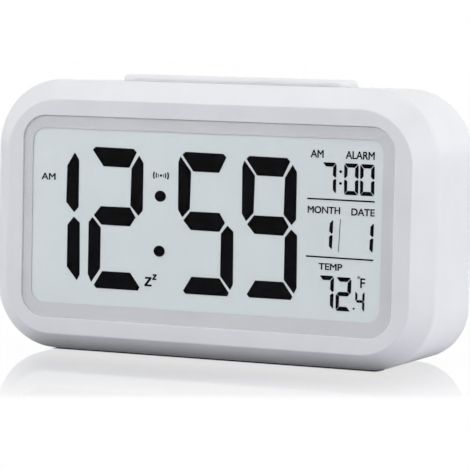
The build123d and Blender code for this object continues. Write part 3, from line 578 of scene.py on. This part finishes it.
keep(moulded("case_white", (0.85, 0.857, 0.885), 0.32))
keep(moulded("bar_white", (0.85, 0.857, 0.883), 0.32))
keep(moulded("door_white", (0.845, 0.852, 0.88), 0.34))
keep(moulded("key_grey", (0.62, 0.63, 0.65), 0.5))
keep(moulded("knob_black", (0.03, 0.03, 0.032), 0.45))
keep(moulded("frame_white", (0.8, 0.8, 0.78), 0.5))
keep(moulded("plunger_white", (0.78, 0.78, 0.76), 0.45))
keep(moulded("header_white", (0.82, 0.8, 0.74), 0.45))
keep(moulded("switch_black", (0.025, 0.025, 0.027), 0.4))
keep(moulded("epoxy_black", (0.015, 0.015, 0.017), 0.25, grain=1.2, depth=0.03))
keep(moulded("cup_black", (0.03, 0.03, 0.033), 0.42))
keep(moulded("bead_black", (0.02, 0.02, 0.022), 0.3, grain=0.8, depth=0.02))
keep(moulded("foot_rubber", (0.045, 0.045, 0.047), 0.8, grain=0.5, depth=0.05, spread=0.12, clouds=3.0))
keep(moulded("connector_rubber", (0.3, 0.12, 0.12), 0.7, depth=0.03))
keep(moulded("sleeve_blue", (0.03, 0.08, 0.3), 0.35, grain=0.8))
keep(moulded("lead_red", (0.5, 0.03, 0.03), 0.4, spread=0.08, clouds=4.0))
keep(moulded("lead_black", (0.02, 0.02, 0.02), 0.4, spread=0.1, clouds=4.0))
keep(moulded("sheet_white", (0.88, 0.88, 0.88), 0.3, grain=0.2, depth=0.003))
keep(moulded("lamp_white", (0.85, 0.83, 0.7), 0.4))
keep(metal("contact_nickel", (0.72, 0.7, 0.66), 0.24, stretch=(1.0, 1.0, 0.1)))
keep(metal("can_metal", (0.72, 0.72, 0.73), 0.26, stretch=(0.1, 1.0, 1.0)))
keep(metal("disc_brass", (0.78, 0.58, 0.24), 0.3))
keep(metal("screw_steel", (0.62, 0.62, 0.64), 0.28))
keep(ribbon("ribbon_grey"))
keep(guide("guide_clear"))
keep(board("board_green"))
keep(cell("cell_wrap", 1))
keep(cell("cell_wrap_turned", -1))

border = keep(moulded("border_grey", (0.55, 0.555, 0.578), 0.5, grain=0.2, depth=0.002))
border.set(Specular_IOR_Level=border_shine)
lcd = keep(
    display_film("lcd_grey", lambda film: film.noise(glass_cloud).band(*tone_band).blend(*glass_tones), glass_shine)
)
ink = display_film("lcd_ink", lambda film: film.noise(ink_cloud).blend(*ink_tones), ink_shine)
print_grey = moulded("print_grey", (0.09, 0.09, 0.1), 0.55, grain=0.15, depth=0.003)

# The lens lets the lamps' light pass straight through
lens = keep(Finish("lens_clear"))
lens.set(Base_Color=white, Transmission_Weight=1.0, IOR=lens_bend)
lens.set(Roughness=lens.noise(lens_cloud).band(*tone_band, 0.0, lens_haze))
to_lamp = lens.start.of(lens.start.make("ShaderNodeLightPath"), "Is Shadow Ray")
straight = lens.start.of(lens.start.make("ShaderNodeBsdfTransparent"))
lens.start.put(to_lamp.mix(lens.start.of(lens.shader), straight), lens.output.inputs["Surface"])

turned = {"cell_middle": "cell_wrap_turned"}
for name, node in nodes.items():
    for place in node.material_slots:
        place.material = finishes[turned.get(name, slot_of[name])]


# Modelling helpers
def deselect():
    if bpy.context.object and bpy.context.object.mode != "OBJECT":
        bpy.ops.object.mode_set(mode="OBJECT")
    bpy.ops.object.select_all(action="DESELECT")


def apply_place():
    """Moves the place, turn and size of the new piece into its mesh."""
    bpy.ops.object.transform_apply(location=True, rotation=True, scale=True)
    return bpy.context.object


def edit_all():
    bpy.ops.object.mode_set(mode="EDIT")
    bpy.ops.mesh.select_all(action="SELECT")


def face_out():
    """Turns all faces of the mesh in edit mode outwards, and leaves edit mode."""
    bpy.ops.mesh.select_all(action="SELECT")
    bpy.ops.mesh.normals_make_consistent(inside=False)
    bpy.ops.object.mode_set(mode="OBJECT")


def bevel(offset, steps):
    bpy.ops.mesh.bevel(offset=offset * MM, segments=steps, affect="EDGES")


def moved(across, up):
    return Matrix.Translation((across * MM, 0, up * MM))


def pick(piece, test):
    """Selects the edges whose two ends pass a test, and goes into edit mode."""
    bpy.context.view_layer.objects.active = piece
    bpy.context.tool_settings.mesh_select_mode = (False, True, False)
    bpy.ops.object.mode_set(mode="EDIT")
    bpy.ops.mesh.select_all(action="DESELECT")
    bpy.ops.object.mode_set(mode="OBJECT")
    for edge in piece.data.edges:
        first, second = (piece.data.vertices[end].co for end in edge.vertices)
        edge.select = test(first, second)
    bpy.ops.object.mode_set(mode="EDIT")


def block(low, high):
    """A block between two corners, as the start of a piece."""
    deselect()
    bpy.ops.mesh.primitive_cube_add(size=1, location=(low + high) / 2)
    bpy.context.object.scale = high - low
    return apply_place()


def rod(radius, start, end):
    """A round rod along the depth, as the start of a piece."""
    deselect()
    bpy.ops.mesh.primitive_cylinder_add(
        vertices=screw_sides,
        radius=radius * MM,
        depth=(end - start) * MM,
        location=(0, (start + end) / 2 * MM, 0),
        rotation=upright,
    )
    return apply_place()


def leaf(width, height, across, up):
    """An upright rectangle with no thickness, as the start of a piece."""
    deselect()
    bpy.ops.mesh.primitive_plane_add(size=1, location=(across * MM, 0, up * MM), rotation=upright)
    bpy.context.object.scale = (width * MM, height * MM, 1)
    return apply_place()


def plate(low, high, corner):
    """A flat upright plate with round corners."""
    piece = block(low, high)
    pick(piece, lambda a, b: abs(a.x - b.x) + abs(a.z - b.z) < merge_gap * MM)
    bevel(corner, corner_steps)
    face_out()
    return piece


def cut_away(piece, cutter):
    """Cuts one piece out of another, and drops the cutter."""
    deselect()
    piece.select_set(True)
    bpy.context.view_layer.objects.active = piece
    cut = piece.modifiers.new("cut", "BOOLEAN")
    cut.operation = "DIFFERENCE"
    cut.solver = "EXACT"
    cut.object = cutter
    bpy.ops.object.modifier_apply(modifier="cut")
    bpy.data.objects.remove(cutter)


def finished(piece, name, finish, body):
    """Names a piece, gives it its finish and lets it ride on a body."""
    piece.name = name
    piece.data.name = name
    piece.data.materials.clear()
    piece.data.materials.append(finish)
    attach(piece, body)
    return piece


def flat(corners):
    """A flat piece with straight sides, cut from a rectangle along each side, and still in edit mode."""
    left, low = (min(values) for values in zip(*corners))
    right, high = (max(values) for values in zip(*corners))
    piece = leaf(right - left, high - low, (left + right) / 2, (low + high) / 2)
    bpy.ops.object.mode_set(mode="EDIT")
    for (x0, z0), (x1, z1) in zip(corners, corners[1:] + corners[:1]):
        bpy.ops.mesh.select_all(action="SELECT")
        bpy.ops.mesh.bisect(
            plane_co=(x0 * MM, 0, z0 * MM),
            plane_no=Vector((z1 - z0, 0, x0 - x1)).normalized(),
            clear_outer=True,
            threshold=merge_gap * MM,
        )
    return piece


def film(corners):
    """A flat piece with straight sides and a film's thickness."""
    piece = flat(corners)
    thicken()
    return piece


def thicken(depth=ink_film):
    """Gives the flat mesh in edit mode a film's thickness, out of the display."""
    bpy.ops.mesh.select_all(action="SELECT")
    bpy.ops.mesh.extrude_region_move(TRANSFORM_OT_translate={"value": (0, -depth * MM, 0)})
    face_out()


def together(pieces):
    """Joins pieces into the first one."""
    deselect()
    for piece in pieces:
        piece.select_set(True)
    bpy.context.view_layer.objects.active = pieces[0]
    if len(pieces) > 1:
        bpy.ops.object.join()
    return bpy.context.object


def copy_of(piece):
    twin = piece.copy()
    twin.data = piece.data.copy()
    bpy.context.collection.objects.link(twin)
    return twin


# Lens: a clear plate with round corners and a broken front edge
lens_low, lens_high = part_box("display_lens")
lens_back = lens_low.y + lens_thick * MM
clear = plate(lens_low, Vector((lens_high.x, lens_back, lens_high.z)), lens_corner)
pick(clear, lambda a, b: max(a.y, b.y) < lens_low.y + lens_edge * MM)
bevel(lens_edge, edge_steps)
face_out()
finished(clear, "lens_plate", lens.material, "case")
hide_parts("display_lens")

# Printed border: a film just behind the lens, with the display's window cut out of it
border_front = lens_back + lens_air * MM
border_back = border_front + border_film * MM
past = Vector((border_reach * MM, 0, border_reach * MM))
ring = plate(
    Vector((lens_low.x, border_front, lens_low.z)) - past,
    Vector((lens_high.x, border_back, lens_high.z)) + past,
    lens_corner + border_reach,
)
opening = plate(
    Vector((border_left * MM, border_front - border_film * MM, border_low * MM)),
    Vector((border_right * MM, border_back + border_film * MM, border_high * MM)),
    border_corner,
)
cut_away(ring, opening)
finished(ring, "border_print", border.material, "case")
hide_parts("display_mask")

# Front glass of the display: a plate on its panel that carries the ink
lcd_low, lcd_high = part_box("lcd_panel")
glass_front = border_back + glass_air * MM
glass = plate(
    Vector((-glass_half * MM, glass_front, glass_low * MM)),
    Vector((glass_half * MM, lcd_low.y - glass_seat * MM, glass_high * MM)),
    glass_corner,
)
finished(glass, "display_glass", lcd.material, "case")
ink_middle = (lcd_low + lcd_high) / 2 + Vector((ink_across * MM, 0, ink_up * MM))
ink_middle.y = glass_front


def lay_ink(piece, name, matrix=None):
    """Lays a piece of ink on the face of the display and lets it ride on the case."""
    piece.data.transform(Matrix.Translation(ink_middle) @ (matrix or Matrix()))
    return finished(piece, name, ink.material, "case")


def lay_figures(shown, outlines, drawn_width, drawn_height):
    """Builds each bar once, and lays out figures from copies of the bars."""
    bars = {name: film(corners) for name, corners in outlines.items()}
    for name, figure, across, up, width, height, slant in shown:
        piece = together([copy_of(bars[bar]) for bar in figures[figure]])
        lean = Matrix(((1, 0, slant, 0), (0, 1, 0, 0), (0, 0, 1, 0), (0, 0, 0, 1)))
        size = Matrix.Diagonal((width / drawn_width, 1, height / drawn_height, 1))
        lay_ink(piece, name, moved(across, up) @ lean @ size)
    for bar in bars.values():
        bpy.data.objects.remove(bar)


lay_figures(large_figures, large_bars, large_width, large_height)
lay_figures(small_figures, small_bars, small_width, small_height)


def disc(across, up, radius, hole=0.0):
    """A round film, or a ring where it has a hole."""
    deselect()
    bpy.ops.mesh.primitive_circle_add(
        vertices=dot_sides,
        radius=radius * MM,
        fill_type="NGON",
        location=(across * MM, 0, up * MM),
        rotation=upright,
    )
    piece = apply_place()
    edit_all()
    if hole:
        bpy.ops.mesh.inset(thickness=(radius - hole) * MM)
        bpy.ops.mesh.delete(type="FACE")
    thicken()
    return piece


for name, middles, half_width, half_height in shown_dots:
    squeeze = Matrix.Diagonal((1, 1, half_height / half_width, 1))
    dots = []
    for across, up in middles:
        dot = disc(0, 0, half_width)
        dot.data.transform(moved(across, up) @ squeeze)
        dots.append(dot)
    lay_ink(together(dots), name)

for name, (x0, z0), (x1, z1), half in shown_rules:
    along = Vector((x1 - x0, z1 - z0)).normalized() * half
    corners = (
        (x0 + along.y, z0 - along.x),
        (x1 + along.y, z1 - along.x),
        (x1 - along.y, z1 + along.x),
        (x0 - along.y, z0 + along.x),
    )
    lay_ink(film(corners), name)


def draw_out(piece, test, across, up):
    """Extrudes the edges of a flat piece whose two ends pass a test."""
    pick(piece, lambda a, b: test(a) and test(b))
    bpy.ops.mesh.extrude_region_move(TRANSFORM_OT_translate={"value": (across * MM, 0, up * MM)})
    bpy.ops.object.mode_set(mode="OBJECT")


def sleep_letter(slope, lean, bar, top_reach, foot_reach):
    """A slanted letter: its slope, drawn out into a bar above and a foot below."""
    (top_left, high), (foot_left, low), (foot_right, low), (top_right, high) = slope
    top = Vector(((top_left + top_right) / 2, 0, high - bar / 2)) * MM
    foot = Vector(((foot_left + foot_right) / 2, 0, low + bar / 2)) * MM
    letter = flat(slope)
    bpy.ops.object.mode_set(mode="OBJECT")
    draw_out(letter, lambda v: v.z > top.z, lean, bar)
    draw_out(letter, lambda v: v.z > top.z and v.x < top.x, -top_reach, 0)
    draw_out(letter, lambda v: v.z < foot.z, -lean, -bar)
    draw_out(letter, lambda v: v.z < foot.z and v.x > foot.x, foot_reach, 0)
    bpy.ops.object.mode_set(mode="EDIT")
    thicken()
    return letter


for name, *sizes in sleep_letters:
    lay_ink(sleep_letter(*sizes), name)


def fit(piece, width, height, depth):
    """Sizes a piece about its middle, with its back at zero.

    With no width it keeps its proportions, and with no depth it stays flat.
    """
    axes = list(zip(*(vertex.co for vertex in piece.data.vertices)))
    low, high = (Vector([edge(places) for places in axes]) for edge in (min, max))
    up = height * MM / (high.z - low.z)
    across = width * MM / (high.x - low.x) if width else up
    thick = depth * MM / (high.y - low.y) if depth else 1
    piece.data.transform(Matrix.Translation((-(low.x + high.x) / 2, -high.y, -(low.z + high.z) / 2)))
    piece.data.transform(Matrix.Diagonal((across, thick, up, 1)))


def lettering(words, height, width=0.0, weight=0.0, depth=ink_film):
    """Letters as a mesh about their middle, with their strokes fattened by a given weight."""
    deselect()
    bpy.ops.object.text_add(location=(0, 0, 0), rotation=upright)
    bpy.context.object.data.body = words
    bpy.ops.object.convert(target="MESH")
    piece = apply_place()
    fit(piece, width, height, 0.0)
    edit_all()
    bpy.ops.mesh.remove_doubles(threshold=merge_gap * MM)
    thicken(depth)
    if weight:
        edit_all()
        bpy.ops.transform.shrink_fatten(value=weight * MM)
        bpy.ops.object.mode_set(mode="OBJECT")
    fit(piece, width, height, depth)
    return piece


for name, words, left, right, low, high in shown_words:
    letters = lettering(words, high - low, right - left, word_weight)
    lay_ink(letters, name, moved((left + right) / 2, (low + high) / 2))


def arc(radius, half_angle, line, side):
    """One bow of the alarm sign: a short edge spun about the sign's dot."""
    piece = leaf(line, line, side * radius, -line / 2)
    edit_all()
    bpy.ops.mesh.delete(type="ONLY_FACE")
    bpy.ops.mesh.select_all(action="DESELECT")
    bpy.ops.object.mode_set(mode="OBJECT")
    top = max(vertex.co.z for vertex in piece.data.vertices)
    for vertex in piece.data.vertices:
        vertex.select = vertex.co.z < top
    bpy.ops.object.mode_set(mode="EDIT")
    bpy.ops.mesh.delete(type="VERT")
    bpy.ops.mesh.select_all(action="SELECT")
    bpy.ops.transform.rotate(value=-radians(half_angle), orient_axis="Y", center_override=(0, 0, 0))
    bpy.ops.mesh.spin(steps=sign_steps, angle=2 * radians(half_angle), center=(0, 0, 0), axis=(0, 1, 0))
    thicken()
    piece.data.transform(moved(*sign_middle))
    return piece


sign = [disc(*sign_middle, sign_dot)]
for radius, half_angle, line in sign_arcs:
    for side in (-1, 1):
        sign.append(arc(radius, half_angle, line, side))
lay_ink(together(sign), "alarm_sign")
lay_ink(disc(*degree_middle, degree_radius, degree_radius - degree_line), "degree_sign")

# Case screws: one is modelled and copied to the four corners
screws_low, screws_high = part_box("case_screws")
screw_reach = (screws_high.y - screws_low.y) / MM
head = rod(head_radius, -head_height, 0)
pick(head, lambda a, b: min(a.y, b.y) > -head_height / 2 * MM)
bevel(head_round, head_steps)
bpy.ops.object.mode_set(mode="OBJECT")
reach = Vector((cross_length, 0, cross_width)) / 2 * MM
sink = Vector((0, cross_depth * MM, 0))
for quarter in (0, pi / 2):
    cutter = block(-reach - sink, reach + sink)
    pick(cutter, lambda a, b: max(a.y, b.y) < 0)
    bpy.ops.transform.resize(value=(cross_taper, 1, cross_taper))
    bpy.ops.object.mode_set(mode="OBJECT")
    cutter.data.transform(Matrix.Rotation(quarter, 4, "Y"))
    cut_away(head, cutter)
shank = rod(shank_radius, -screw_reach, -head_height)
pick(shank, lambda a, b: max(a.y, b.y) < -(screw_reach + head_height) / 2 * MM)
bevel(tip_round, tip_steps)
screw = together([head, shank])
bpy.ops.object.shade_smooth_by_angle(angle=radians(smooth_angle))
inset = head_radius * MM
copies = []
for x in (screws_low.x + inset, screws_high.x - inset):
    for z in (screws_low.z + inset, screws_high.z - inset):
        twin = copy_of(screw)
        twin.data.transform(Matrix.Translation((x, screws_high.y, z)))
        copies.append(twin)
bpy.data.objects.remove(screw)
heads = finished(together(copies), "cross_head_screws", finishes["screw_steel"], "case")
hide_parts("case_screws")

# Printed words on the control panel, read from behind
panel_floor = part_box("rear_case")[1].y - panel_recess * MM
about = Matrix.Rotation(pi, 4, "Z")


def lay_print(words, name, across, up):
    piece = lettering(words, print_height, depth=print_film)
    piece.data.transform(Matrix.Translation((across, panel_floor, up)) @ about)
    finished(piece, name, print_grey.material, "case")


button_boxes = [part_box(node) for node, words in key_words]
print_line = min(low.z for low, high in button_boxes) - print_drop * MM
for (node, words), (low, high) in zip(key_words, button_boxes):
    lay_print(words, node + "_word", (low.x + high.x) / 2, print_line)
lay_print(switch_word, "switch_word", switch_middle * MM, print_line)
knob_low, knob_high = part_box("light_switch_knob")
for words, offset in switch_ends:
    lay_print(words, "switch_" + words.lower(), (switch_middle + offset) * MM, (knob_low.z + knob_high.z) / 2)

# Camera
camera = bpy.data.objects.new("camera", bpy.data.cameras.new("camera"))
bpy.context.collection.objects.link(camera)
camera.data.lens = camera_lens
camera.data.sensor_width = camera_sensor
camera.data.clip_start = camera_near * MM
camera.data.clip_end = camera_far * MM
turn = Matrix.Rotation(radians(camera_turn), 4, "Z")
dip = Matrix.Rotation(radians(90 - camera_dip), 4, "X")
roll = Matrix.Rotation(radians(camera_roll), 4, "Z")
camera.matrix_world = Matrix.Translation(Vector(camera_place) * MM) @ turn @ dip @ roll
bpy.context.scene.camera = camera

# Lamps
for name, place, (half_x, half_y), power, colour in lamps:
    data = bpy.data.lights.new(name, "AREA")
    data.shape = "RECTANGLE"
    data.size = 2 * half_x * MM
    data.size_y = 2 * half_y * MM
    data.energy = power
    data.color = colour
    lamp = bpy.data.objects.new(name, data)
    bpy.context.collection.objects.link(lamp)
    lamp.location = Vector(place) * MM
    lamp.rotation_euler = (Vector(lamp_aim) - Vector(place)).to_track_quat("-Z", "Y").to_euler()


def seen_rays(start):
    """Rays from the camera, and rays from glossy surfaces that don't come through the lens."""
    rays = start.make("ShaderNodeLightPath")
    by_gloss = start.of(rays, "Is Glossy Ray") * (1.0 - start.of(rays, "Is Transmission Ray"))
    return start.of(rays, "Is Camera Ray"), by_gloss


# Sky: white where it is seen, and where it lights, pale at the horizon and dim overhead
world = bpy.data.worlds.new("studio")
bpy.context.scene.world = world
sky = Wire(new_tree(world))
toward = sky.of(sky.make("ShaderNodeTexCoord"), "Generated")
rise = sky.of(sky.make("ShaderNodeSeparateXYZ", None, {0: toward}), 2)
level = rise.band(0.0, sky_rise, sky_low, sky_high)
by_camera, by_gloss = seen_rays(sky)
strength = level + by_camera.most(by_gloss) * (1.0 - level)
background = sky.make("ShaderNodeBackground", None, {"Color": white, "Strength": strength})
sky.make("ShaderNodeOutputWorld", None, {"Surface": sky.of(background)})

# Floor: white where it is seen, with painted shade and a painted shadow line where the base meets it, and a fading
# reflection in front
deselect()
bpy.ops.mesh.primitive_plane_add(size=2 * floor_half * MM, location=(0, 0, 0))
floor = bpy.context.object
floor.name = "floor"
floor_white = bpy.data.materials.new("floor_white")
ground = Wire(new_tree(floor_white))
spot = ground.of(ground.make("ShaderNodeTexCoord"), "Object")
split = ground.make("ShaderNodeSeparateXYZ", None, {0: spot})
x, y = ground.of(split, 0), ground.of(split, 1)
past_x = (x.far() - base_half * MM).most(0.0)
past_y = ((y - (base_front + base_back) / 2 * MM).far() - (base_back - base_front) / 2 * MM).most(0.0)
away = (past_x * past_x + past_y * past_y).root()
ahead = x * sin(radians(mirror_turn)) - y * cos(radians(mirror_turn))
by_camera, by_gloss = seen_rays(ground)
# Painted contact shadow: near the base the floor's glow is taken away, so the camera sees the painted shade of its
# colour as a dark line
painted_contact_fade = away.band(0.0, painted_contact_reach * MM)
glow_share = away.band(0.0, floor_fade_end * MM, floor_glow_near, 1.0) * painted_contact_fade
glow_share = glow_share * by_camera.most(by_gloss * floor_sheen)
mirror_mask = away.band(0.0, mirror_rise * MM, mirror_near, mirror_share) * painted_contact_fade * by_camera
mirror_mask = mirror_mask * ahead.band(mirror_fade[0] * MM, mirror_fade[1] * MM, 1.0, mirror_far)
mirror_mask = mirror_mask * ahead.band(mirror_end[0] * MM, mirror_end[1] * MM, 1.0, 0.0)
# Painted shade: the floor's colour darkens towards the base, so little light bounces onto the bottom of the case
tone = away.band(0.0, painted_shade_reach * MM).blend(painted_floor_shade, floor_tone)
matt = ground.make("ShaderNodeBsdfDiffuse", None, {"Color": tone})
glow = ground.make("ShaderNodeEmission", None, {"Color": white, "Strength": 1.0})
mirror = ground.make("ShaderNodeBsdfGlossy", None, {"Color": white, "Roughness": mirror_blur})
pale = glow_share.mix(ground.of(matt), ground.of(glow))
ground.make("ShaderNodeOutputMaterial", None, {"Surface": mirror_mask.mix(pale, ground.of(mirror))})
floor.data.materials.append(floor_white)

bpy.context.scene.view_settings.view_transform = "Standard"
